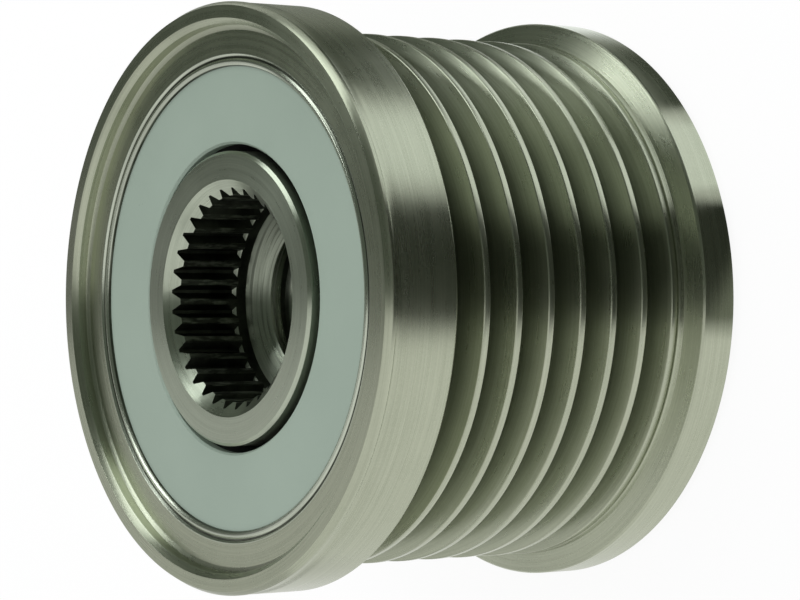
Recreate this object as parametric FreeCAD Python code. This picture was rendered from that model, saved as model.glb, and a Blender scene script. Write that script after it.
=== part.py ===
import FreeCAD, Part
import math
import os

# Overrunning alternator pulley: a seven-groove belt ring that runs on a threaded hub
# through a roller clutch between two roller bearings. Millimetres. The axis is +Z, the
# serrated front is up, and the hub's rear seat lies on Z = 0. Profiles are written as
# (radius, depth), where depth counts down from the front edge of the belt ring.

# Hub bore: thread, rear pilot, step cone and serrated tool socket. The thread is the
# innermost size, and every radius further out is built up on it by wall thicknesses
thread_root_r = 8.0
thread_depth = 0.81
thread_land = 0.3
pilot_step = 0.5
pilot_length = 6.0
pilot_chamfer = 0.5
step_cone_angle = 65.0
socket_step = 2.21
socket_relief = 0.27
socket_mouth_width = 1.35
socket_mouth_depth = 1.1
serration_count = 33
serration_length = 7.45
serration_depth = 0.65
serration_opening = 1.25
serration_root_width = 0.3
serration_phase = -1.0
serration_end_angle = 60.0
serration_runout = 1.1

# Hub, outside
hub_wall = 4.0
hub_proud_rear = 0.6
hub_face_depth = 1.35
collar_step = 0.35
collar_chamfer = 0.28
collar_end_gap = 0.09
collar_step_run = 0.2
rear_race_wall = 1.0
hub_end_chamfer = 0.5

# Bearings
running_clearance = 0.05
bearing_roller_r = 2.0
bearing_roller_count = 12
bearing_cage_wall = 1.7
bearing_cage_rim = 0.6
pocket_clearance = 0.15
cage_end_gap = 0.3
sleeve_wall = 1.9

# Roller clutch
clutch_length = 10.0
clutch_roller_r = 1.8
clutch_roller_count = 8
clutch_roller_offset = 1.0
clutch_roller_travel = 0.6
ramp_clearance = 0.19
clutch_cage_gap = 0.15
clutch_cage_end = 0.5
clutch_cage_rim = 0.75
clutch_cage_key_gap = 0.1
spring_room = 2.9
spring_leaf_width = 0.4
spring_foot_gap = 0.4
spring_head_gap = 0.9
spring_inset = 1.0

# Belt ring, outside
groove_count = 7
belt_pitch = 3.56
groove_half_angle = 20.0
groove_depth = 3.0
crest_width = 0.64
ring_wall = 2.6
front_shoulder_width = 0.83
rear_notch_depth = 0.45
rear_notch_width = 0.22
rear_shoulder_width = 0.6
front_rim_height = 2.11
front_rim_width = 7.39
front_edge_chamfer = 0.36
front_edge_chamfer_depth = 0.62
front_band_rise = 0.05
front_band_end = 0.95
band_step = 0.18
band_step_run = 0.2
band_floor_end = 1.85
band_bevel_run = 0.4
rear_rim_height = 1.95
rear_rim_width = 3.81
rear_edge_chamfer = 0.36
rim_bevel = 0.15

# Belt ring, front recess with the rolled lip that holds the shield
front_face_width = 1.15
face_cone_width = 0.5
face_cone_depth = 0.48
recess_depth = 1.5
recess_wall_depth = 1.15
recess_wall_taper = 0.3
recess_bevel = 0.25
lip_step = 2.0
lip_crown_width = 0.45
lip_crown_drop = 0.1
lip_slope_width = 0.45
lip_valley_drop = 0.22
lip_rise_width = 0.3
lip_roll = 0.18
lip_grip = 0.55

# Belt ring, rear seat for the shield
rear_seat_step = 1.6
rear_recess_step = 1.2
rear_recess_depth = 0.5
rear_shield_sink = 0.1

# Shields, seals and washers
shield_thickness = 1.0
shield_gap = 0.65
shield_edge_bevel = 0.2
rear_shield_thickness = 0.8
rear_shield_gap = 0.8
seal_length = 3.1
seal_band = 1.1
seal_web = 0.9
seal_lip_thickness = 0.55
seal_lip_gap = 0.06
seal_lip_slope = 0.5
seal_lip_end = 0.3
seat_gap = 0.02
washer_thickness = 0.8
washer_shaft_gap = 0.35

# Cutters reach this far past what they cut
cut_margin = 1.0

# Radii that follow from the sizes above
pilot_r = thread_root_r + pilot_step
thread_crest_r = thread_root_r - thread_depth
socket_r = thread_crest_r + socket_step
socket_relief_r = socket_r + socket_relief
hub_seat_r = thread_root_r + hub_wall
raceway_r = hub_seat_r + rear_race_wall
collar_r = raceway_r + collar_step
roller_circle_r = raceway_r + running_clearance + bearing_roller_r
outer_race_r = roller_circle_r + bearing_roller_r + running_clearance
ramp_r = outer_race_r - 2 * clutch_roller_r - ramp_clearance
ring_bore_r = outer_race_r + sleeve_wall
root_r = ring_bore_r + ring_wall
crest_r = root_r + groove_depth
front_rim_r = crest_r + front_rim_height
front_band_r = front_rim_r + front_band_rise
rear_rim_r = crest_r + rear_rim_height
lip_inner_r = ring_bore_r + lip_step
front_shield_r = lip_inner_r + lip_grip
rear_seat_r = ring_bore_r + rear_seat_step
rear_recess_r = rear_seat_r + rear_recess_step

# Depths that follow, from the front edge of the ring to the hub's rear seat
flank_slope = math.tan(math.radians(groove_half_angle))
half_open = (belt_pitch - crest_width) / 2
first_crest = front_rim_width + front_rim_height * flank_slope
first_groove = first_crest + front_shoulder_width + half_open
last_crest = first_groove + (groove_count - 1) * belt_pitch + half_open
rear_notch = last_crest + crest_width
rear_shoulder = rear_notch + rear_notch_width + rear_shoulder_width
rear_rim_start = rear_shoulder + rear_rim_height * flank_slope
ring_length = rear_rim_start + rear_rim_width
hub_end = ring_length + hub_proud_rear
shield_top = recess_depth + lip_valley_drop + lip_roll
shield_seat = shield_top + shield_thickness
front_washer_start = shield_seat + seal_length + 2 * seat_gap
sleeve_start = front_washer_start + washer_thickness
rear_shield_start = ring_length - rear_recess_depth - rear_shield_sink - rear_shield_thickness
rear_seal_start = rear_shield_start - seal_length - seat_gap
rear_washer_start = rear_seal_start - washer_thickness - seat_gap
bearing_cage_length = (rear_washer_start - sleeve_start - clutch_length - 4 * cage_end_gap) / 2
bearing_roller_length = bearing_cage_length - 2 * (bearing_cage_rim + pocket_clearance)
front_bearing_depth = sleeve_start + cage_end_gap + bearing_cage_length / 2
clutch_start = front_bearing_depth + bearing_cage_length / 2 + cage_end_gap
clutch_depth = clutch_start + clutch_length / 2
rear_race_start = clutch_start + clutch_length
rear_bearing_depth = rear_race_start + cage_end_gap + bearing_cage_length / 2
clutch_pocket_inset = clutch_cage_end + clutch_cage_rim
clutch_roller_length = clutch_length - 2 * (clutch_pocket_inset + pocket_clearance)
serration_end = hub_face_depth + serration_length
relief_end = serration_end + serration_runout
cone_length = (socket_relief_r - thread_crest_r) / math.tan(math.radians(step_cone_angle))
cone_end = relief_end + cone_length
thread_start = cone_end + thread_land + thread_depth
pilot_start = hub_end - pilot_length

os.makedirs("parts", exist_ok=True)


def save(shape, name):
    shape.exportStep("parts/" + name + ".step")


def turned(corners):
    """Solid turned about the axis from a closed profile of (radius, depth) corners."""
    spots = [FreeCAD.Vector(radius, 0, hub_end - depth) for radius, depth in corners]
    face = Part.Face(Part.makePolygon(spots + spots[:1]))
    return face.revolve(FreeCAD.Vector(0, 0, 0), FreeCAD.Vector(0, 0, 1), 360)


def tube(outer_r, inner_r, start, end):
    """Plain tube between two depths."""
    return turned([(outer_r, start), (outer_r, end), (inner_r, end), (inner_r, start)])


def disc(radius, start, end):
    """Solid disc between two depths."""
    return Part.makeCylinder(radius, end - start, FreeCAD.Vector(0, 0, hub_end - end))


def around(shape, angle):
    """Copy of a shape turned about the axis."""
    copy = shape.copy()
    copy.rotate(FreeCAD.Vector(0, 0, 0), FreeCAD.Vector(0, 0, 1), angle)
    return copy


# Belt ring: one turned piece with two rims, the belt grooves between them, the front
# recess with its lip, and the bore that takes the clutch sleeve and the seals
def belt_grooves():
    """Corners of the grooved track, from the foot of the front rim to that of the rear rim."""
    half_root = half_open - groove_depth * flank_slope
    corners = [(crest_r, first_crest)]
    for groove in range(groove_count):
        centre = first_groove + groove * belt_pitch
        corners += [
            (crest_r, centre - half_open),
            (root_r, centre - half_root),
            (root_r, centre + half_root),
            (crest_r, centre + half_open),
        ]
    corners += [
        (crest_r, rear_notch),
        (crest_r - rear_notch_depth, rear_notch + rear_notch_width / 2),
        (crest_r, rear_notch + rear_notch_width),
        (crest_r, rear_shoulder),
    ]
    return corners


front_outside = [
    (front_band_r - front_edge_chamfer, 0),
    (front_band_r, front_edge_chamfer_depth),
    (front_band_r, front_band_end),
    (front_band_r - band_step, front_band_end + band_step_run),
    (front_band_r - band_step, band_floor_end),
    (front_rim_r, band_floor_end + band_bevel_run),
    (front_rim_r, front_rim_width - rim_bevel),
    (front_rim_r - rim_bevel, front_rim_width + rim_bevel * flank_slope),
]
rear_outside = [
    (rear_rim_r - rim_bevel, rear_rim_start - rim_bevel * flank_slope),
    (rear_rim_r, rear_rim_start + rim_bevel),
    (rear_rim_r, ring_length - rear_edge_chamfer),
    (rear_rim_r - rear_edge_chamfer, ring_length),
    (rear_recess_r + rear_recess_depth, ring_length),
    (rear_recess_r, ring_length - rear_recess_depth),
    (rear_seat_r, ring_length - rear_recess_depth),
    (rear_seat_r, rear_shield_start),
]
lip_crown_r = lip_inner_r + lip_crown_width
lip_valley_r = lip_crown_r + lip_slope_width
face_inner_r = front_band_r - front_edge_chamfer - front_face_width
recess_wall_r = face_inner_r - face_cone_width
bore_and_recess = [
    (ring_bore_r, rear_shield_start),
    (ring_bore_r, shield_seat),
    (front_shield_r, shield_seat),
    (front_shield_r, shield_top),
    (lip_inner_r, shield_top),
    (lip_crown_r, recess_depth + lip_crown_drop),
    (lip_valley_r, recess_depth + lip_valley_drop),
    (lip_valley_r + lip_rise_width, recess_depth),
    (recess_wall_r - recess_wall_taper - recess_bevel, recess_depth),
    (recess_wall_r - recess_wall_taper, recess_wall_depth),
    (recess_wall_r, face_cone_depth),
    (face_inner_r, 0),
]
save(turned(front_outside + belt_grooves() + rear_outside + bore_and_recess), "pulley_ring")

# Clutch sleeve: hardened outer race of both bearings and of the clutch, pressed in the ring
save(tube(ring_bore_r, outer_race_r, sleeve_start, rear_washer_start), "clutch_sleeve")

# Hub: collar, front raceway and a long seat outside; socket, cone, thread and pilot inside
collar_end = front_washer_start - collar_end_gap - collar_step_run
hub_blank = turned([
    (collar_r - collar_chamfer, hub_face_depth),
    (collar_r, hub_face_depth + collar_chamfer),
    (collar_r, collar_end),
    (raceway_r, collar_end + collar_step_run),
    (raceway_r, clutch_start),
    (hub_seat_r, clutch_start),
    (hub_seat_r, hub_end - hub_end_chamfer),
    (hub_seat_r - hub_end_chamfer, hub_end),
    (pilot_r + pilot_chamfer, hub_end),
    (pilot_r, hub_end - pilot_chamfer),
    (pilot_r, pilot_start),
    (thread_root_r, pilot_start - pilot_step),
    (thread_root_r, thread_start),
    (thread_crest_r, thread_start - thread_depth),
    (thread_crest_r, cone_end),
    (socket_relief_r, relief_end),
    (socket_relief_r, serration_end),
    (socket_r, serration_end),
    (socket_r, hub_face_depth + socket_mouth_depth),
    (socket_r + socket_mouth_width, hub_face_depth),
])

# The socket's grooves are V-shaped with a blunt floor. They run out into a relief, and
# stop at a cone, which leaves a small triangle of wall at each groove's end
serration_root_r = socket_r + serration_depth
half_opening = serration_opening / 2
half_floor = serration_root_width / 2
inner_half = half_opening + (half_opening - half_floor) * cut_margin / serration_depth
groove_section = Part.Face(Part.makePolygon([
    FreeCAD.Vector(x, y, hub_end - serration_end - cut_margin)
    for x, y in (
        (socket_r - cut_margin, -inner_half), (serration_root_r, -half_floor),
        (serration_root_r, half_floor), (socket_r - cut_margin, inner_half),
        (socket_r - cut_margin, -inner_half))
]))
groove_bar = groove_section.extrude(FreeCAD.Vector(0, 0, serration_end + cut_margin))
groove_limit_r = serration_root_r + cut_margin
limit_rise = (groove_limit_r - socket_relief_r) / math.tan(math.radians(serration_end_angle))
groove_limit = turned([
    (0, 0),
    (groove_limit_r, 0),
    (groove_limit_r, serration_end - limit_rise),
    (socket_relief_r, serration_end),
    (0, serration_end),
])
one_groove = groove_bar.common(groove_limit)
save(hub_blank.cut([
    around(one_groove, serration_phase + index * 360 / serration_count)
    for index in range(serration_count)
]), "hub")

# Rear inner race: hardened ring on the hub seat, behind the clutch
save(tube(raceway_r, hub_seat_r, rear_race_start, rear_seal_start), "rear_inner_race")


# Roller bearings: each a cage with pockets and a ring of rollers that run in them
def bearing_cage(middle):
    """Cage tube with one window for each roller."""
    half = bearing_cage_length / 2
    cage_r = roller_circle_r - bearing_cage_wall / 2
    cage = tube(cage_r + bearing_cage_wall, cage_r, middle - half, middle + half)
    width = 2 * (bearing_roller_r + pocket_clearance)
    height = bearing_roller_length + 2 * pocket_clearance
    window = Part.makeBox(bearing_cage_wall + 2 * cut_margin, width, height)
    window.translate(FreeCAD.Vector(cage_r - cut_margin, -width / 2, hub_end - middle - height / 2))
    step = 360 / bearing_roller_count
    return cage.cut([around(window, index * step) for index in range(bearing_roller_count)])


def bearing_roller(middle, angle):
    """One bearing roller, standing parallel to the axis."""
    low = hub_end - middle - bearing_roller_length / 2
    centre = FreeCAD.Vector(roller_circle_r, 0, low)
    return around(Part.makeCylinder(bearing_roller_r, bearing_roller_length, centre), angle)


for side, middle in (("front", front_bearing_depth), ("rear", rear_bearing_depth)):
    save(bearing_cage(middle), side + "_bearing_cage")
    for index in range(bearing_roller_count):
        roller = bearing_roller(middle, index * 360 / bearing_roller_count)
        save(roller, "{}_bearing_roller_{:02d}".format(side, index + 1))

# Roller clutch: a cam ring with one flat ramp for each roller, keyed in its cage, where a
# leaf spring pushes each roller towards the shallow end of its ramp
ramp_step = 360 / clutch_roller_count
clutch_roller_height = ramp_r + running_clearance + clutch_roller_r


def ramp_prism(flat_r, start, end):
    """Prism with one flat for each clutch roller, its first flat facing +X."""
    corner_r = flat_r / math.cos(math.radians(ramp_step / 2))
    corners = []
    for index in range(clutch_roller_count + 1):
        angle = math.radians((index - 0.5) * ramp_step)
        corners.append(FreeCAD.Vector(
            corner_r * math.cos(angle), corner_r * math.sin(angle), hub_end - end))
    return Part.Face(Part.makePolygon(corners)).extrude(FreeCAD.Vector(0, 0, end - start))


cam_prism = ramp_prism(ramp_r, clutch_start, rear_race_start)
save(cam_prism.cut(disc(hub_seat_r, clutch_start, rear_race_start)), "clutch_cam_ring")

cage_start = clutch_start + clutch_cage_end
cage_stop = rear_race_start - clutch_cage_end
cage_key = ramp_prism(ramp_r + clutch_cage_key_gap, cage_start, cage_stop)
clutch_cage = disc(outer_race_r - clutch_cage_gap, cage_start, cage_stop).cut(cage_key)
pocket_high = clutch_roller_offset + clutch_roller_travel + clutch_roller_r + pocket_clearance
pocket_low = clutch_roller_offset - clutch_roller_r - spring_room
pocket_height = clutch_roller_length + 2 * pocket_clearance
pocket = Part.makeBox(outer_race_r, pocket_high - pocket_low, pocket_height)
pocket.translate(FreeCAD.Vector(0, pocket_low, hub_end - clutch_depth - pocket_height / 2))
pocket = pocket.cut(cam_prism)
save(clutch_cage.cut([
    around(pocket, index * ramp_step) for index in range(clutch_roller_count)
]), "clutch_cage")


def clutch_roller(angle):
    """One clutch roller on its ramp, in the free-running position."""
    low = hub_end - clutch_depth - clutch_roller_length / 2
    centre = FreeCAD.Vector(clutch_roller_height, clutch_roller_offset, low)
    return around(Part.makeCylinder(clutch_roller_r, clutch_roller_length, centre), angle)


def clutch_spring(angle):
    """Folded leaf spring between the pocket's wall and the roller."""
    height = clutch_roller_length - 2 * spring_inset
    low = hub_end - clutch_depth - height / 2
    foot = ramp_r + spring_foot_gap
    head = outer_race_r - spring_head_gap
    wall_side = pocket_low + running_clearance
    roller_side = clutch_roller_offset - clutch_roller_r - 2 * running_clearance
    fold = (roller_side - wall_side) / 3
    bends = [
        (foot, wall_side), (head, wall_side + fold), (foot, wall_side + 2 * fold),
        (clutch_roller_height - spring_leaf_width / 2, roller_side),
    ]
    near = [FreeCAD.Vector(x, y, low) for x, y in bends]
    far = [FreeCAD.Vector(x + spring_leaf_width, y, low) for x, y in reversed(bends)]
    strip = Part.Face(Part.makePolygon(near + far + near[:1]))
    return around(strip.extrude(FreeCAD.Vector(0, 0, height)), angle)


for index in range(clutch_roller_count):
    save(clutch_roller(index * ramp_step), "clutch_roller_{}".format(index + 1))
    save(clutch_spring(index * ramp_step), "clutch_spring_{}".format(index + 1))

# Thrust washers: keep the bearing cages in place at both ends of the sleeve
for side, start in (("front", front_washer_start), ("rear", rear_washer_start)):
    washer = tube(ring_bore_r, raceway_r + washer_shaft_gap, start, start + washer_thickness)
    save(washer, side + "_thrust_washer")


# Lip seals: a rubber band in the ring's bore, a web, and a lip that runs on the hub
def lip_seal(shaft_r, outer_end, inward):
    """Seal with its web at the outer end; inward is 1 for the front and -1 for the rear."""
    web_depth = outer_end + inward * seal_web
    lip_depth = outer_end + inward * (seal_length - seal_lip_end)
    lip_r = shaft_r + seal_lip_gap
    lip_root_r = lip_r + (seal_length - seal_web) * seal_lip_slope
    band_r = ring_bore_r - seal_band
    return turned([
        (ring_bore_r, outer_end),
        (ring_bore_r, outer_end + inward * seal_length),
        (band_r, outer_end + inward * seal_length),
        (band_r, web_depth),
        (lip_root_r + seal_lip_thickness, web_depth),
        (lip_r + seal_lip_thickness, lip_depth),
        (lip_r, lip_depth),
        (lip_root_r, outer_end),
    ])


save(lip_seal(collar_r, shield_seat + seat_gap, 1), "front_lip_seal")
save(lip_seal(hub_seat_r, rear_seal_start + seal_length, -1), "rear_lip_seal")

# Front shield: flat steel washer under the ring's rolled lip
shield_bore_r = collar_r + shield_gap
save(turned([
    (front_shield_r, shield_top),
    (front_shield_r, shield_seat),
    (shield_bore_r, shield_seat),
    (shield_bore_r, shield_top + shield_edge_bevel),
    (shield_bore_r + shield_edge_bevel, shield_top),
]), "front_shield")

# Rear shield: flat steel washer pressed in the ring's rear seat
rear_shield_end = rear_shield_start + rear_shield_thickness
save(tube(rear_seat_r, hub_seat_r + rear_shield_gap, rear_shield_start, rear_shield_end),
     "rear_shield")
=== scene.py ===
import math
import bpy
from mathutils import Matrix, Vector


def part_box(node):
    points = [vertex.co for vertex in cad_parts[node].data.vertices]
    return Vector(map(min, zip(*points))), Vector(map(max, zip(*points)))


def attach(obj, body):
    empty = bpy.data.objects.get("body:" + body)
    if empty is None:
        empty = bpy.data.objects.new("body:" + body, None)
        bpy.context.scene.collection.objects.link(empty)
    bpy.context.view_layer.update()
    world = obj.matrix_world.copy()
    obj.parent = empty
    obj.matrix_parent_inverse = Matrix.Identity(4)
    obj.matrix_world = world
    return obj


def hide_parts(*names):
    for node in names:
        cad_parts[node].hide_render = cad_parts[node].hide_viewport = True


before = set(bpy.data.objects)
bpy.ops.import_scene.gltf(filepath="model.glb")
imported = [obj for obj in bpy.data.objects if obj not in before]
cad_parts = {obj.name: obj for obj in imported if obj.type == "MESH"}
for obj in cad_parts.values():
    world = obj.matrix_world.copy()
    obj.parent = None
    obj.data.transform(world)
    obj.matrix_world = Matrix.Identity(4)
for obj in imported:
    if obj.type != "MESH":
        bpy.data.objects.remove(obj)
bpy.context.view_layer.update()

# ---------------------------------------------------------------- hub
# Turned steel hub with a serrated tool socket, a step cone and a fine thread in its bore.
# It is turned on a lathe, so its finish runs round the axis. Painted shade darkens the socket's
# side walls and the roots of its thread.
hub_pale = (0.505, 0.555, 0.445)
hub_deep = (0.345, 0.385, 0.300)
# Painted shade: near black on the socket's side walls, kept off faces that look up.
socket_painted_shade = (0.019, 0.022, 0.016)
# Painted shade in the roots of the bore's thread.
bore_painted_shade = (0.022, 0.026, 0.019)
scratch_tone = (0.085, 0.095, 0.070)
socket_wall_r = 0.0102
socket_land_r = 0.00942
socket_floor = 0.0299
cone_foot = 0.0271
thread_wall_r = 0.0083
thread_crest_r = 0.00738
thread_root_r = 0.00772


def add(tree, kind, **settings):
    """A new node with its attributes and its unlinked sockets set."""
    node = tree.nodes.new(kind)
    for key, value in settings.items():
        if hasattr(node, key):
            setattr(node, key, value)
        else:
            node.inputs[key.replace("_", " ")].default_value = value
    return node


def figure(tree, operation, *values):
    """Sockets or plain numbers joined by one arithmetic operation, from left to right."""
    total = values[0]
    for value in values[1:]:
        node = add(tree, "ShaderNodeMath", operation=operation)
        for socket, side in zip(node.inputs, (total, value)):
            if isinstance(side, (int, float)):
                socket.default_value = side
            else:
                tree.links.new(side, socket)
        total = node.outputs[0]
    return total


def times(tree, *values):
    """Product of sockets or plain numbers."""
    return figure(tree, "MULTIPLY", *values)


def plus(tree, *values):
    """Sum of sockets or plain numbers."""
    return figure(tree, "ADD", *values)


def most(tree, *values):
    """Largest of sockets or plain numbers."""
    return figure(tree, "MAXIMUM", *values)


def ramp(tree, value, low, high, low_out=0.0, high_out=1.0):
    """Value carried from the range low..high to low_out..high_out, and held at both ends."""
    node = add(tree, "ShaderNodeMapRange", From_Min=low, From_Max=high,
               To_Min=low_out, To_Max=high_out)
    tree.links.new(value, node.inputs["Value"])
    return node.outputs["Result"]


def past(tree, value, edge, soft=0.0001):
    """Share that rises from nothing at an edge to all a little way past it."""
    return ramp(tree, value, edge, edge + soft)


def short_of(tree, value, edge, soft=0.0001):
    """Share that falls from all at an edge to nothing a little way past it."""
    return ramp(tree, value, edge, edge + soft, 1.0, 0.0)


def blend(tree, share, first, second):
    """Colour between two colours; each is a socket or three numbers."""
    node = add(tree, "ShaderNodeMix", data_type="RGBA")
    tree.links.new(share, node.inputs[0])
    for socket, colour in ((node.inputs[6], first), (node.inputs[7], second)):
        if isinstance(colour, tuple):
            socket.default_value = (*colour, 1.0)
        else:
            tree.links.new(colour, socket)
    return node.outputs[2]


def apart(tree, vector):
    """The x, y and z of a vector."""
    node = add(tree, "ShaderNodeSeparateXYZ")
    tree.links.new(vector, node.inputs[0])
    return node.outputs


def joined(tree, *parts):
    """A vector from two or three sockets."""
    node = add(tree, "ShaderNodeCombineXYZ")
    for part, socket in zip(parts, node.inputs):
        tree.links.new(part, socket)
    return node.outputs[0]


def reach(tree, vector):
    """Length of a vector."""
    node = add(tree, "ShaderNodeVectorMath", operation="LENGTH")
    tree.links.new(vector, node.inputs[0])
    return node.outputs["Value"]


def new_finish(name):
    """Empty material with its surface shader and the place of each point."""
    finish = bpy.data.materials.new(name)
    finish.use_nodes = True
    tree = finish.node_tree
    surface = tree.nodes["Principled BSDF"]
    place = add(tree, "ShaderNodeTexCoord").outputs["Object"]
    return finish, tree, surface, place


def cloud(tree, place, scale, detail=3.0):
    """Soft mottling of the given scale, per metre."""
    node = add(tree, "ShaderNodeTexNoise", Scale=scale, Detail=detail, Roughness=0.55)
    tree.links.new(place, node.inputs["Vector"])
    return node.outputs["Fac"]


def drawn_out(tree, place, height):
    """Place with its height scaled, so that a pattern on it is drawn out along the axis."""
    node = add(tree, "ShaderNodeMapping", vector_type="POINT", Scale=(1.0, 1.0, height))
    tree.links.new(place, node.inputs["Vector"])
    return node.outputs[0]


def lathe_lines(tree, place, per_metre, run, detail=2.0):
    """Fine lines that run round the axis, as a tool leaves them; run is how soon they change."""
    x, y, height = apart(tree, place)
    radius = reach(tree, joined(tree, x, y))
    spot = joined(tree, times(tree, radius, per_metre), times(tree, height, per_metre),
                  times(tree, figure(tree, "DIVIDE", x, radius), run))
    node = add(tree, "ShaderNodeTexNoise", noise_dimensions="4D", Scale=1.0, Detail=detail)
    tree.links.new(spot, node.inputs["Vector"])
    tree.links.new(times(tree, figure(tree, "DIVIDE", y, radius), run), node.inputs["W"])
    return node.outputs["Fac"], radius, height


def specks(tree, place, scale, edge, patch_scale, patch_low):
    """Share of small round specks, which lie only in some patches."""
    dots = add(tree, "ShaderNodeTexVoronoi", Scale=scale)
    tree.links.new(place, dots.inputs["Vector"])
    dot = ramp(tree, dots.outputs["Distance"], 0.04, edge, 1.0, 0.0)
    return times(tree, dot, past(tree, cloud(tree, place, patch_scale, 2.0), patch_low, 0.04))


def raised(tree, surface, relief, strength, depth):
    """Gives a surface its relief as a bump of the given depth in metres."""
    bump = add(tree, "ShaderNodeBump", Strength=strength, Distance=depth)
    tree.links.new(relief, bump.inputs["Height"])
    tree.links.new(bump.outputs["Normal"], surface.inputs["Normal"])


def turned_steel(name, pale, deep, rough, zones=()):
    """Turned steel: lines round the axis, mottling and small nicks. A zone has its own colour
    and change in roughness; its share comes from radius, height and how far a face looks up."""
    finish, tree, surface, place = new_finish(name)
    fine, radius, height = lathe_lines(tree, place, per_metre=11000.0, run=1.8)
    broad, _, _ = lathe_lines(tree, place, per_metre=3400.0, run=0.7)
    mottle = cloud(tree, place, scale=320.0, detail=5.0)
    grain = cloud(tree, place, scale=5200.0, detail=1.0)
    tone = plus(tree, *(ramp(tree, part, 0.3, 0.7, 0.0, weight) for part, weight in
                        ((fine, 0.5), (broad, 0.3), (mottle, 0.15), (grain, 0.15))))
    colour = blend(tree, tone, deep, pale)
    nick = specks(tree, place, scale=900.0, edge=0.09, patch_scale=210.0, patch_low=0.70)
    colour = blend(tree, times(tree, nick, 0.20), colour, tuple(0.5 * c for c in deep))
    roughness = plus(tree, ramp(tree, broad, 0.25, 0.75, rough - 0.02, rough + 0.03),
                     ramp(tree, mottle, 0.3, 0.7, -0.01, 0.02))
    facing = apart(tree, place.node.outputs["Normal"])[2]
    # Random mottle that makes each zone uneven, painted shade zones included.
    uneven_zones = ramp(tree, mottle, 0.35, 0.6, 0.85, 1.0)
    for zone_colour, rougher, share_of in zones:
        share = times(tree, share_of(tree, radius, height, facing), uneven_zones)
        colour = blend(tree, share, colour, zone_colour)
        roughness = plus(tree, roughness, times(tree, share, rougher))
    relief = plus(tree, times(tree, fine, 0.6), times(tree, broad, 2.0), times(tree, nick, -0.3))
    raised(tree, surface, relief, strength=0.30, depth=0.00002)
    tree.links.new(colour, surface.inputs["Base Color"])
    tree.links.new(roughness, surface.inputs["Roughness"])
    lay = add(tree, "ShaderNodeTangent", direction_type="RADIAL", axis="Z")
    tree.links.new(lay.outputs["Tangent"], surface.inputs["Tangent"])
    surface.inputs["Metallic"].default_value = 1.0
    surface.inputs["Anisotropic"].default_value = 0.65
    surface.inputs["Anisotropic Rotation"].default_value = 0.25
    return finish


def painted_socket_shade(tree, radius, height, facing):
    """Painted shade on the side walls of the toothed socket: near black in the grooves, streaky on
    the lands; faces that look up stay bright.
    """
    streaks = drawn_out(tree, add(tree, "ShaderNodeTexCoord").outputs["Object"], height=0.22)
    streak = ramp(tree, cloud(tree, streaks, scale=2600.0), 0.46, 0.64, 0.93, 0.45)
    groove = times(tree, past(tree, radius, socket_land_r, 0.00008), 0.97)
    wall = times(tree, short_of(tree, radius, socket_wall_r), past(tree, height, socket_floor))
    return times(tree, most(tree, streak, groove), wall, short_of(tree, facing, 0.15, 0.1))


def painted_thread_root_shade(tree, radius, height, facing):
    """Painted shade fills the roots of the thread and leaves its crests bright."""
    share = ramp(tree, radius, thread_crest_r, thread_root_r, 0.0, 0.92)
    return times(tree, share, short_of(tree, radius, thread_wall_r),
                 short_of(tree, height, cone_foot))


def cone_scratches(tree, radius, height, facing):
    """The step cone is cut roughly, so dark scratches run round it."""
    place = add(tree, "ShaderNodeTexCoord").outputs["Object"]
    lines, _, _ = lathe_lines(tree, place, per_metre=5200.0, run=1.1, detail=3.0)
    cone = times(tree, short_of(tree, radius, socket_land_r - 0.0003, 0.0003),
                 short_of(tree, height, socket_floor), past(tree, height, cone_foot))
    return times(tree, ramp(tree, lines, 0.50, 0.64, 0.0, 0.62), cone)


def dress(names, finish):
    """Gives CAD nodes a finish."""
    for name in names:
        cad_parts[name].data.materials.clear()
        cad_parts[name].data.materials.append(finish)


# The hub's finish carries painted shade in its socket and in its thread's roots, and dark
# scratches on its step cone.
hub_finish = turned_steel("hub_steel_turned", hub_pale, hub_deep, 0.28, (
    (socket_painted_shade, 0.05, painted_socket_shade),
    (bore_painted_shade, 0.08, painted_thread_root_shade),
    (scratch_tone, 0.0, cone_scratches)))
dress(["hub"], hub_finish)

# ---------------------------------------------------------------- hub thread
# Fine right-hand thread cut in the hub's bore, 1.5 mm from turn to turn. The ridge is one
# helical run whose foot lies in the wall; it has the hub's turned steel, with painted shade in its
# roots.
thread_pitch = 0.0015
thread_turns = 13
thread_steps = 96
thread_low = 0.0076
thread_foot_r = 0.00802
thread_tip_r = 0.00721
thread_foot_half = 0.00066
thread_tip_half = 0.0001


def only(piece):
    """Leaves one object selected and active."""
    bpy.ops.object.select_all(action="DESELECT")
    piece.select_set(True)
    bpy.context.view_layer.objects.active = piece


bpy.ops.object.select_all(action="DESELECT")
bpy.ops.mesh.primitive_plane_add(size=1.0, location=(0, 0, 0))
thread = bpy.context.object
thread.name = "hub_thread"
for vertex in thread.data.vertices:
    at_foot = vertex.co.x > 0
    half = thread_foot_half if at_foot else thread_tip_half
    side = 1 if vertex.co.y > 0 else -1
    vertex.co = (thread_foot_r if at_foot else thread_tip_r, 0.0, thread_low + side * half)
only(thread)
bpy.ops.object.mode_set(mode="EDIT")
bpy.ops.mesh.select_all(action="SELECT")
bpy.ops.mesh.delete(type="ONLY_FACE")
bpy.ops.object.mode_set(mode="OBJECT")
screw = thread.modifiers.new("turns", "SCREW")
screw.axis = "Z"
screw.screw_offset = thread_pitch
screw.iterations = thread_turns
screw.steps = thread_steps
screw.render_steps = thread_steps
bpy.ops.object.modifier_apply(modifier="turns")
bpy.ops.object.mode_set(mode="EDIT")
bpy.ops.mesh.select_all(action="SELECT")
bpy.ops.mesh.remove_doubles(threshold=0.000001)
bpy.ops.mesh.select_all(action="DESELECT")
bpy.ops.mesh.select_mode(type="EDGE")
bpy.ops.mesh.select_non_manifold()
bpy.ops.mesh.edge_face_add()
bpy.ops.mesh.select_all(action="SELECT")
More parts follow.
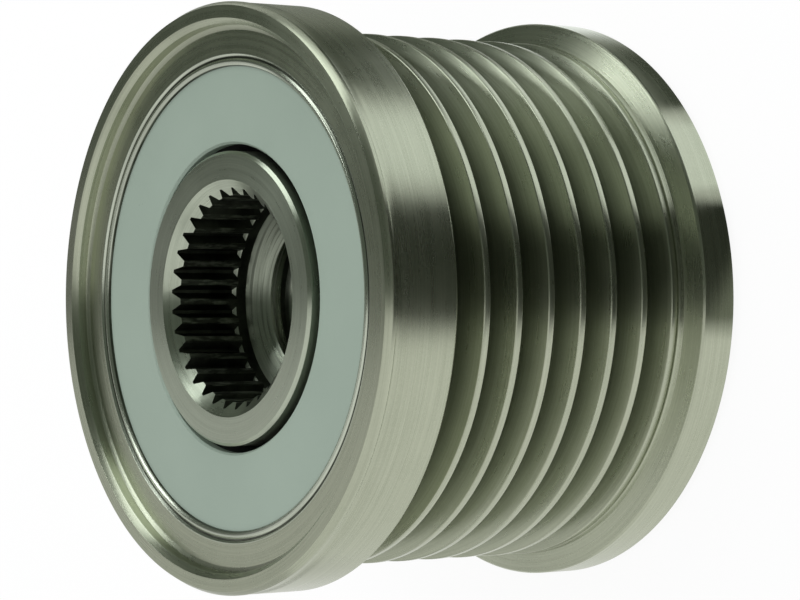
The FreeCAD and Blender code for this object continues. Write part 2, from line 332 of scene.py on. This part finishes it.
bpy.ops.mesh.normals_make_consistent(inside=False)
bpy.ops.object.mode_set(mode="OBJECT")
bpy.ops.object.shade_smooth_by_angle(angle=math.radians(30))
thread.data.materials.clear()
thread.data.materials.append(turned_steel("thread_steel_cut", hub_pale, hub_deep, 0.26,
                                          ((bore_painted_shade, 0.08, painted_thread_root_shade),)))
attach(thread, "hub")

# ---------------------------------------------------------------- rear inner race and cam ring
# Two hardened steel rings pressed on the hub: the rear bearing's raceway, ground bright,
# and the clutch's ring of flat ramps, which keeps a darker heat-treated skin.
race_pale = (0.58, 0.58, 0.56)
race_deep = (0.40, 0.40, 0.39)
ramp_pale = (0.33, 0.33, 0.34)
ramp_deep = (0.20, 0.20, 0.22)
dress(["rear_inner_race"], turned_steel("race_steel_ground", race_pale, race_deep, 0.18))
dress(["clutch_cam_ring"], turned_steel("ramp_steel_hardened", ramp_pale, ramp_deep, 0.32))

# ---------------------------------------------------------------- clutch cage and bearing cages
# Moulded glass-filled plastic, dark brown, with a faint flow mottle and short fibre marks
# near the surface. The clutch cage is keyed on the ramps; the bearing cages run free.
cage_brown = (0.060, 0.042, 0.030)
cage_pale = (0.115, 0.085, 0.060)


def moulded_plastic(name, deep, pale, rough):
    """Moulded plastic with flow mottle, pale fibre flecks and a soft orange-peel relief."""
    finish, tree, surface, place = new_finish(name)
    flow = cloud(tree, place, scale=190.0, detail=4.0)
    fibre = add(tree, "ShaderNodeTexNoise", Scale=5200.0, Detail=1.0)
    tree.links.new(drawn_out(tree, place, height=0.12), fibre.inputs["Vector"])
    fleck = ramp(tree, fibre.outputs["Fac"], 0.64, 0.70)
    fleck_pale = tuple(min(1.0, 2.6 * c) for c in pale)
    colour = blend(tree, ramp(tree, flow, 0.35, 0.7), deep, pale)
    colour = blend(tree, times(tree, fleck, 0.5), colour, fleck_pale)
    peel = cloud(tree, place, scale=1400.0, detail=2.0)
    raised(tree, surface, plus(tree, peel, fleck), strength=0.3, depth=0.00002)
    roughness = ramp(tree, flow, 0.3, 0.7, rough - 0.05, rough + 0.08)
    tree.links.new(colour, surface.inputs["Base Color"])
    tree.links.new(roughness, surface.inputs["Roughness"])
    return finish


cage_finish = moulded_plastic("cage_plastic_moulded", cage_brown, cage_pale, 0.48)
dress(["clutch_cage", "front_bearing_cage", "rear_bearing_cage"], cage_finish)

# ---------------------------------------------------------------- rollers
# Ground and polished bearing steel, 8 in the clutch and 12 in each bearing. Each roller has
# faint grinding lines across its length, a few dull patches and a thin film of grease.
roller_bright = (0.66, 0.66, 0.65)
roller_dull = (0.50, 0.50, 0.48)


def ground_steel(name, bright, dull, rough):
    """Ground steel: very fine lines and dull grease patches."""
    finish, tree, surface, place = new_finish(name)
    wave = add(tree, "ShaderNodeTexWave", wave_type="BANDS", bands_direction="Z",
               Scale=5200.0, Distortion=6.0, Detail=3.0)
    tree.links.new(place, wave.inputs["Vector"])
    lines = wave.outputs["Fac"]
    patch = cloud(tree, place, scale=420.0, detail=4.0)
    tone = plus(tree, times(tree, lines, 0.3), ramp(tree, patch, 0.35, 0.65, 0.0, 0.7))
    raised(tree, surface, lines, strength=0.15, depth=0.000006)
    roughness = ramp(tree, patch, 0.35, 0.65, rough + 0.12, rough)
    tree.links.new(blend(tree, tone, dull, bright), surface.inputs["Base Color"])
    tree.links.new(roughness, surface.inputs["Roughness"])
    surface.inputs["Metallic"].default_value = 1.0
    return finish


roller_finish = ground_steel("roller_steel_ground", roller_bright, roller_dull, 0.14)
dress([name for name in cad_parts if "_roller_" in name], roller_finish)

# ---------------------------------------------------------------- clutch springs
# Folded leaves of blued spring steel, one behind each clutch roller. The strip is rolled,
# so its colour drifts between straw and blue with a fine grain along the leaf.
leaf_straw = (0.34, 0.29, 0.21)
leaf_blue = (0.17, 0.19, 0.25)
dress([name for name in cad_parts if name.startswith("clutch_spring_")],
      ground_steel("spring_steel_blued", leaf_straw, leaf_blue, 0.26))

# ---------------------------------------------------------------- clutch sleeve
# Hardened outer race that both bearings and the clutch run in, pressed in the belt ring.
# Its bore is ground bright.
dress(["clutch_sleeve"], turned_steel("sleeve_steel_ground", race_pale, race_deep, 0.20))

# ---------------------------------------------------------------- belt ring
# Turned steel ring with two raised rims and seven V-shaped belt grooves, cut in one piece.
# Every corner is lightly rounded by the tool and by tumbling. It replaces the plain ring.
ring_pale = (0.485, 0.515, 0.395)
ring_deep = (0.335, 0.362, 0.270)
# Painted shade in the belt grooves, darker towards their floors.
groove_painted_shade = (0.097, 0.112, 0.086)
# The rolled lip, burnished and also painted lighter as a highlight.
lip_burnish_and_highlight = (0.56, 0.605, 0.50)
# Painted shade in the fine groove by the lip and where the lip meets the shield.
lip_painted_shade = (0.050, 0.056, 0.040)
ring_segments = 240
front_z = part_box("pulley_ring")[1].z
rear_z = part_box("pulley_ring")[0].z
length = front_z - rear_z
belt_pitch = 0.00356
belt_grooves = 7
first_groove = 0.010448
crest_r = 0.0246
root_r = 0.0216
crest_width = 0.00064
flank_slope = math.tan(math.radians(20))
half_open = (belt_pitch - crest_width) / 2
half_root = half_open - (crest_r - root_r) * flank_slope
notch_depth = 0.00045
notch_half = 0.00011
behind_notch = 0.00082
rear_rim_rise = 0.0018
ring_bore_r = 0.0190
shield_seat_r = 0.02155
lip_edge_r = 0.0222
lip_foot_r = 0.02106
lip_groove_r = 0.02168
lip_floor = front_z - 0.0021
grooves_low = 0.0042
grooves_top = 0.0313
corner_round = 0.0001
crest_round = 0.0001
touching = 0.000005
level = 0.000002


def lathe(name, profile, segments):
    """Ring turned from a closed profile of (radius, height) corners, one band at a time."""
    bpy.ops.object.select_all(action="DESELECT")
    radius, height = profile[0]
    bpy.ops.mesh.primitive_circle_add(vertices=segments, radius=radius, location=(0, 0, height))
    piece = bpy.context.object
    piece.name = name
    bpy.ops.object.transform_apply(location=True, rotation=True, scale=True)
    bpy.ops.object.mode_set(mode="EDIT")
    bpy.ops.mesh.select_all(action="SELECT")
    for next_radius, next_height in profile[1:] + profile[:1]:
        rise = (0, 0, next_height - height)
        bpy.ops.mesh.extrude_edges_move(TRANSFORM_OT_translate={"value": rise})
        ratio = next_radius / radius
        bpy.ops.transform.resize(value=(ratio, ratio, 1), center_override=(0, 0, 0))
        radius, height = next_radius, next_height
    bpy.ops.mesh.select_all(action="SELECT")
    bpy.ops.mesh.remove_doubles(threshold=level)
    bpy.ops.mesh.normals_make_consistent(inside=False)
    bpy.ops.object.mode_set(mode="OBJECT")
    return piece


def round_corners(piece, width, steps, from_angle):
    """Rounds every edge sharper than an angle, and keeps the bands between them crisp."""
    only(piece)
    edge = piece.modifiers.new("corners", "BEVEL")
    edge.width = width
    edge.segments = steps
    edge.limit_method = "ANGLE"
    edge.angle_limit = math.radians(from_angle)
    edge.use_clamp_overlap = True
    bpy.ops.object.modifier_apply(modifier="corners")
    bpy.ops.object.shade_smooth_by_angle(angle=math.radians(28))
    flat = piece.modifiers.new("flats", "WEIGHTED_NORMAL")
    flat.weight = 100
    flat.keep_sharp = True
    bpy.ops.object.modifier_apply(modifier="flats")


# Each corner is (radius, depth behind the front edge), from the front rim round to the lip.
front_rim = [(0.02639, 0.0), (0.02675, 0.00062), (0.02675, 0.00095), (0.02658, 0.00115),
             (0.02658, 0.00185), (0.02671, 0.00225), (0.02671, 0.00724), (0.02656, 0.007445),
             (crest_r, 0.008158)]
belt_lands = []
for groove in range(belt_grooves):
    centre = first_groove + groove * belt_pitch
    belt_lands += [(crest_r, centre - half_open), (root_r, centre - half_root),
                   (root_r, centre + half_root), (crest_r, centre + half_open)]
last_land = belt_lands[-1][1] + crest_width
notch = [(crest_r, last_land), (crest_r - notch_depth, last_land + notch_half),
         (crest_r, last_land + 2 * notch_half)]
rear_rim = [(crest_r, last_land + behind_notch),
            (0.0264, last_land + behind_notch + rear_rim_rise * flank_slope),
            (0.02655, last_land + 0.00167), (0.02655, length - 0.00036), (0.02619, length)]
rear_recess = [(0.0223, length), (0.0218, length - 0.0005), (0.0206, length - 0.0005),
               (0.0206, length - 0.0014), (ring_bore_r, length - 0.0014)]
bore_and_seat = [(ring_bore_r, 0.0029), (shield_seat_r, 0.0029), (shield_seat_r, 0.0019)]
bead = [(0.0210, 0.00190), (0.02105, 0.0017), (0.02120, 0.0016), (0.0214, 0.00152),
        (0.02156, 0.00154), (0.02172, 0.00168), (0.02186, 0.00172),
        (lip_edge_r - 0.00012, 0.0015)]
front_recess = [(0.02425, 0.0015), (0.02469, 0.0013), (0.02475, 0.00048), (0.02525, 0.0)]
ring_profile = (front_rim + belt_lands + notch + rear_rim + rear_recess + bore_and_seat + bead
                + front_recess)
belt_ring = lathe("belt_ring", [(radius, front_z - depth) for radius, depth in ring_profile],
                  ring_segments)

# The crests of the belt lands are rounded first, the other corners of the ring after them.
only(belt_ring)
first_edge = front_z - (first_groove - half_open) + 2 * touching
last_edge = front_z - last_land - 2 * touching
bpy.ops.object.mode_set(mode="EDIT")
bpy.ops.mesh.select_mode(type="EDGE")
bpy.ops.mesh.select_all(action="DESELECT")
bpy.ops.object.mode_set(mode="OBJECT")
for edge in belt_ring.data.edges:
    one, other = (belt_ring.data.vertices[index].co for index in edge.vertices)
    on_crest = all(abs(math.hypot(end.x, end.y) - crest_r) < touching for end in (one, other))
    on_land = last_edge < one.z < first_edge
    edge.select = on_crest and on_land and abs(one.z - other.z) < level
bpy.ops.object.mode_set(mode="EDIT")
bpy.ops.mesh.bevel(offset=crest_round, segments=3, affect="EDGES")
bpy.ops.object.mode_set(mode="OBJECT")
round_corners(belt_ring, corner_round, steps=2, from_angle=24)


def painted_groove_shade(tree, radius, height, facing):
    """Painted shade in the belt grooves, deeper towards their floors, where the skin is also a
    little rougher.
    """
    skin = ramp(tree, radius, root_r, crest_r - 0.0001, 0.66, 0.06)
    grooves = times(tree, short_of(tree, radius, crest_r - 0.00012, 0.00007),
                    past(tree, height, grooves_low, 0.0008),
                    short_of(tree, height, grooves_top, 0.0004))
    return times(tree, skin, grooves)


def rolled_lip_burnish_and_highlight(tree, radius, height, facing):
    """The lip that holds the front shield is burnished by the tool that rolls it over, and painted
    lighter as a highlight.
    """
    return times(tree, short_of(tree, radius, lip_edge_r - 0.0001), past(tree, height, lip_floor))


def painted_lip_shade_lines(tree, radius, height, facing):
    """Painted shade in the fine groove outside the lip and where the lip meets the shield."""
    groove_line = times(tree, past(tree, radius, lip_groove_r, 0.00004),
                        short_of(tree, radius, lip_groove_r + 0.0002, 0.00006))
    foot_line = short_of(tree, radius, lip_foot_r, 0.00006)
    return times(tree, most(tree, groove_line, foot_line), past(tree, height, lip_floor))


# The ring's finish carries painted shade in its belt grooves and lip creases, and a painted
# highlight on its lip.
ring_finish = turned_steel("ring_steel_turned", ring_pale, ring_deep, 0.27, (
    (groove_painted_shade, 0.05, painted_groove_shade),
    (lip_burnish_and_highlight, -0.06, rolled_lip_burnish_and_highlight),
    (lip_painted_shade, 0.10, painted_lip_shade_lines)))
belt_ring.data.materials.clear()
belt_ring.data.materials.append(ring_finish)
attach(belt_ring, "pulley")
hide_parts("pulley_ring")
dress(["pulley_ring"], ring_finish)

# ---------------------------------------------------------------- thrust washers
# Stamped steel washers that keep the bearing cages in place, one at each bearing. They are
# lightly phosphated, so they are darker than the races.
washer_pale = (0.36, 0.36, 0.34)
washer_deep = (0.24, 0.24, 0.23)
dress(["front_thrust_washer", "rear_thrust_washer"],
      turned_steel("washer_steel_stamped", washer_pale, washer_deep, 0.36))

# ---------------------------------------------------------------- lip seals
# Black nitrile rubber moulded as one band, web and lip, one seal at each end of the part.
# The skin is matte and slightly dusty.
seal_black = (0.014, 0.014, 0.014)
seal_dust = (0.040, 0.040, 0.038)
dress(["front_lip_seal", "rear_lip_seal"],
      moulded_plastic("seal_rubber_matte", seal_black, seal_dust, 0.62))

# ---------------------------------------------------------------- shields
# Flat steel washers under a matte grey-green phosphate coat. The coat is even, with a very
# fine grain, a slow drift in colour and a few rubbed specks.
coat_pale = (0.325, 0.402, 0.333)
coat_deep = (0.287, 0.358, 0.296)
coat_speck = (0.16, 0.20, 0.17)


def phosphate_coat(name, pale, deep, speck):
    """Matte crystalline coat on flat steel."""
    finish, tree, surface, place = new_finish(name)
    drift = cloud(tree, place, scale=75.0, detail=4.0)
    grain = cloud(tree, place, scale=9000.0, detail=2.0)
    tone = plus(tree, ramp(tree, drift, 0.3, 0.7, 0.0, 0.6), ramp(tree, grain, 0.3, 0.7, 0.0, 0.4))
    colour = blend(tree, tone, deep, pale)
    rubbed = specks(tree, place, scale=700.0, edge=0.08, patch_scale=160.0, patch_low=0.60)
    colour = blend(tree, times(tree, rubbed, 0.35), colour, speck)
    raised(tree, surface, grain, strength=0.25, depth=0.000006)
    tree.links.new(colour, surface.inputs["Base Color"])
    tree.links.new(ramp(tree, grain, 0.3, 0.7, 0.50, 0.62), surface.inputs["Roughness"])
    surface.inputs["Metallic"].default_value = 0.15
    return finish


dress(["front_shield", "rear_shield"],
      phosphate_coat("shield_steel_coated", coat_pale, coat_deep, coat_speck))

# ---------------------------------------------------------------- studio
# A plain pale floor that stays white to the camera and in reflections and keeps a soft
# shadow, three softboxes, and boards and felt mats that only reflections show.
floor_half = 3.0
floor_paper = (0.97, 0.97, 0.97)
floor_glow = 0.92
room_light = (0.62, 0.62, 0.62)
room_mirrored = (0.098, 0.112, 0.094)
softbox_white = (0.97, 1.0, 1.02)
softbox_aim = (0, 0, 0.02)

bpy.ops.object.select_all(action="DESELECT")
bpy.ops.mesh.primitive_plane_add(size=2 * floor_half, location=(0, 0, 0))
floor = bpy.context.object
floor.name = "studio_floor"
paper, tree, surface, _ = new_finish("floor_paper")
surface.inputs["Base Color"].default_value = (*floor_paper, 1.0)
surface.inputs["Roughness"].default_value = 0.9
surface.inputs["Specular IOR Level"].default_value = 0.0
glow = add(tree, "ShaderNodeEmission", Strength=1.0)
path = add(tree, "ShaderNodeLightPath")
seen = most(tree, *(path.outputs[ray] for ray in
                    ("Is Camera Ray", "Is Glossy Ray", "Is Transmission Ray")))
lit = add(tree, "ShaderNodeMixShader")
tree.links.new(times(tree, seen, floor_glow), lit.inputs[0])
tree.links.new(surface.outputs[0], lit.inputs[1])
tree.links.new(glow.outputs[0], lit.inputs[2])
tree.links.new(lit.outputs[0], tree.nodes["Material Output"].inputs["Surface"])
floor.data.materials.append(paper)

sky = bpy.data.worlds.new("studio_world")
sky.use_nodes = True
tree = sky.node_tree
path = add(tree, "ShaderNodeLightPath")
air = blend(tree, path.outputs["Is Glossy Ray"], room_light, room_mirrored)
tree.links.new(air, tree.nodes["Background"].inputs["Color"])
bpy.context.scene.world = sky


def softbox(name, width, height, spot, power):
    """Rectangular softbox at a spot, facing the part."""
    light = bpy.data.lights.new(name, "AREA")
    light.shape = "RECTANGLE"
    light.size = width
    light.size_y = height
    light.energy = power
    light.color = softbox_white
    holder = bpy.data.objects.new(name, light)
    holder.location = spot
    towards = Vector(softbox_aim) - Vector(spot)
    holder.rotation_euler = towards.to_track_quat("-Z", "Y").to_euler()
    bpy.context.scene.collection.objects.link(holder)
    return holder


softbox("top_softbox", width=0.40, height=0.32, spot=(0.48, 0.05, 0.26), power=0.86)
softbox("back_softbox", width=0.15, height=0.18, spot=(0.23, 0.28, 0.475), power=0.32)
fill = softbox("fill_softbox", width=0.6, height=0.6, spot=(0.1, -0.35, 0.6), power=1.6)
fill.visible_glossy = False


def reflector(name, corners, card):
    """Flat card that only reflections show, from its four corners."""
    bpy.ops.object.select_all(action="DESELECT")
    bpy.ops.mesh.primitive_plane_add(size=1.0, location=(0, 0, 0))
    piece = bpy.context.object
    piece.name = name
    for vertex, corner in zip(piece.data.vertices, corners):
        vertex.co = corner
    piece.data.materials.append(card)
    piece.visible_camera = False
    piece.visible_diffuse = False
    piece.visible_shadow = False
    piece.visible_transmission = False


def board(name, start, end, low, high, card):
    """Upright board over a line on the floor, from one height to another."""
    reflector(name, [(*spot, height) for height in (low, high) for spot in (start, end)], card)


def lit_card(name, brightness):
    """Evenly lit card."""
    card, tree, _, _ = new_finish(name)
    glow = add(tree, "ShaderNodeEmission", Strength=brightness)
    tree.links.new(glow.outputs[0], tree.nodes["Material Output"].inputs["Surface"])
    return card


# Boards as (name, line on the floor from and to, heights from and to, card).
pale_card = lit_card("board_pale", 0.64)
low_card = lit_card("board_low", 0.88)
for details in (
        ("white_board", (-0.07, -1.2), (-0.07, 0.01), 0.0, 1.2, lit_card("board_side", 0.9)),
        ("low_board_side", (-0.069, 0.025), (-0.069, 0.088), 0.055, 0.125, low_card),
        ("low_board_back", (-0.068, 0.089), (-0.005, 0.089), 0.02, 0.065, low_card),
        ("pale_board_side", (-0.07, 0.01), (-0.07, 0.09), 0.0, 0.6, pale_card),
        ("pale_board_back", (-0.07, 0.09), (-0.005, 0.09), 0.0, 0.25, pale_card),
        ("grey_board_back", (-0.005, 0.09), (0.014, 0.09), 0.05, 0.105,
         lit_card("board_grey", 0.26))):
    board(*details)

# The felt mats meet the white card along lines that a rim mirrors at these angles round
# the axis, in degrees from the picture's right. Distances are from the axis or up the picture.
rim_r = 0.0267
mat_front = -6.0
strip_start = 21.0
strip_end = 40.0
bulge_end = 61.0
pale_start = 63.0
near_start = 71.0
line_soft = 0.0012
line_spread = 0.12
side_from = 0.002
bulge_from = 0.032
bulge_to = 0.052
near_from = 0.015
near_to = 0.030
mat_height = 0.0001
felt_front = (0.040, 0.045, 0.037)
felt_side = (0.080, 0.091, 0.074)
felt_pale = (0.27, 0.285, 0.25)
strip_white = (1.16, 1.20, 1.22)
bulge_white = (1.36, 1.40, 1.43)


def past_line(tree, place, angle):
    """Share of the floor past the line that a rim mirrors at this angle round the axis."""
    turn = math.radians(angle)
    from_start = add(tree, "ShaderNodeVectorMath", operation="SUBTRACT")
    tree.links.new(place, from_start.inputs[0])
    from_start.inputs[1].default_value = (rim_r * math.sin(turn), -rim_r * math.cos(turn), 0.0)
    sides = []
    for direction in ((math.cos(2 * turn), math.sin(2 * turn), 0.0),
                      (math.sin(2 * turn), -math.cos(2 * turn), 0.0)):
        side = add(tree, "ShaderNodeVectorMath", operation="DOT_PRODUCT")
        tree.links.new(from_start.outputs[0], side.inputs[0])
        side.inputs[1].default_value = direction
        sides.append(side.outputs["Value"])
    across, along = sides
    softness = most(tree, times(tree, along, line_spread), line_soft)
    return ramp(tree, figure(tree, "DIVIDE", across, softness), -1.0, 1.0)


def between_lines(tree, place, first, last):
    """Share of the floor between two such lines."""
    before_last = figure(tree, "SUBTRACT", 1.0, past_line(tree, place, last))
    return times(tree, past_line(tree, place, first), before_last)


def felt_mats(name):
    """Two dark felt mats on the floor, with white card between them and beside the part."""
    mats, tree, _, place = new_finish(name)
    out = reach(tree, place)
    upwards = apart(tree, place)[0]
    front = between_lines(tree, place, mat_front, strip_start)
    side = times(tree, past_line(tree, place, strip_end), past(tree, upwards, side_from, 0.008))
    strip = between_lines(tree, place, strip_start, strip_end)
    bulge = times(tree, between_lines(tree, place, strip_end, bulge_end),
                  past(tree, out, bulge_from, 0.004), short_of(tree, out, bulge_to, 0.006))
    near = times(tree, past_line(tree, place, near_start), short_of(tree, out, near_to, 0.006),
                 past(tree, upwards, near_from, 0.005))
    colour = blend(tree, side, felt_front, felt_side)
    colour = blend(tree, past_line(tree, place, pale_start), colour, felt_pale)
    colour = blend(tree, most(tree, bulge, near), colour, bulge_white)
    colour = blend(tree, strip, colour, strip_white)
    glow = add(tree, "ShaderNodeEmission", Strength=1.0)
    tree.links.new(colour, glow.inputs["Color"])
    laid = add(tree, "ShaderNodeMixShader")
    tree.links.new(most(tree, front, side, strip), laid.inputs[0])
    tree.links.new(add(tree, "ShaderNodeBsdfTransparent").outputs[0], laid.inputs[1])
    tree.links.new(glow.outputs[0], laid.inputs[2])
    tree.links.new(laid.outputs[0], tree.nodes["Material Output"].inputs["Surface"])
    return mats


reflector("felt_mats", [(x, y, mat_height) for y in (-0.5, 0.16) for x in (-0.2, 0.5)],
          felt_mats("felt_dark"))

# ---------------------------------------------------------------- camera
# The photograph looks at the serrated front from the side: the axis runs left to right in
# the picture and the row's +X points up.
photo_lens = 137.39
photo_shift = -1.5 / 800
view = bpy.data.cameras.new("photo_camera")
view.sensor_width = 36.0
view.lens = photo_lens
view.shift_y = photo_shift
camera = bpy.data.objects.new("photo_camera", view)
camera.matrix_world = Matrix((
    (0.0, 1.0, 0.0, 0.0),
    (-0.5911, 0.0, -0.8066, -0.23184),
    (-0.8066, 0.0, 0.5911, 0.18885),
    (0.0, 0.0, 0.0, 1.0),
))
bpy.context.scene.collection.objects.link(camera)
bpy.context.scene.camera = camera
bpy.context.scene.view_settings.view_transform = "Standard"
